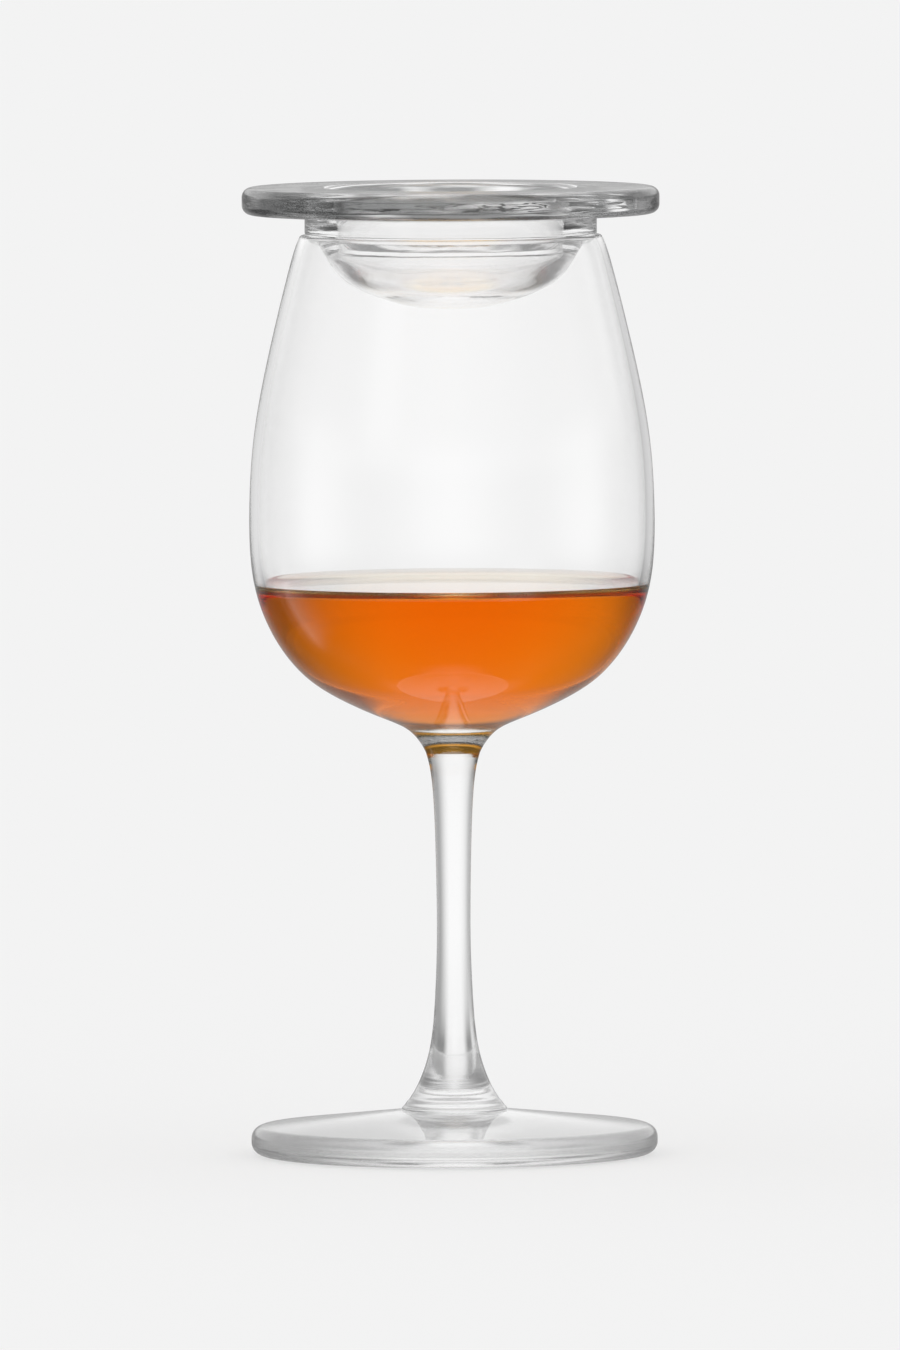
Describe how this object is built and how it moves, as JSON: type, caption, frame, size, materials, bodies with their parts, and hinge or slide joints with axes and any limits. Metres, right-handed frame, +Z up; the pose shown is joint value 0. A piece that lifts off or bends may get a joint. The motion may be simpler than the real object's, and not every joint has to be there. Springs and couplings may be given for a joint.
{
  "type": "whisky nosing glass",
  "caption": "Stemmed nosing glass with a tulip bowl, a measure of whisky in it, and a loose dished glass cover that lies in the mouth.",
  "frame": {"origin": "middle of the foot's flat underside", "axes": "+Z up along the axis of foot, stem, bowl and cover; the glass is round, so +X and +Y are free"},
  "size_m": [0.0618, 0.0618, 0.1433],
  "materials": {
    "foot_glass": "polished",
    "stem_glass": "polished",
    "bowl_glass": "polished",
    "whisky": "polished",
    "cover_glass": "polished"
  },
  "bodies": {
    "glass": {"foot": "foot_glass", "stem": "stem_glass", "bowl": "bowl_glass", "whisky": "whisky"},
    "cover": {"cover": "cover_glass"}
  },
  "joints": [
    {"name": "cover_lift", "type": "slide", "parent": "glass", "child": "cover", "axis": [0, 0, 1], "range_m": [0, 0.07]}
  ]
}
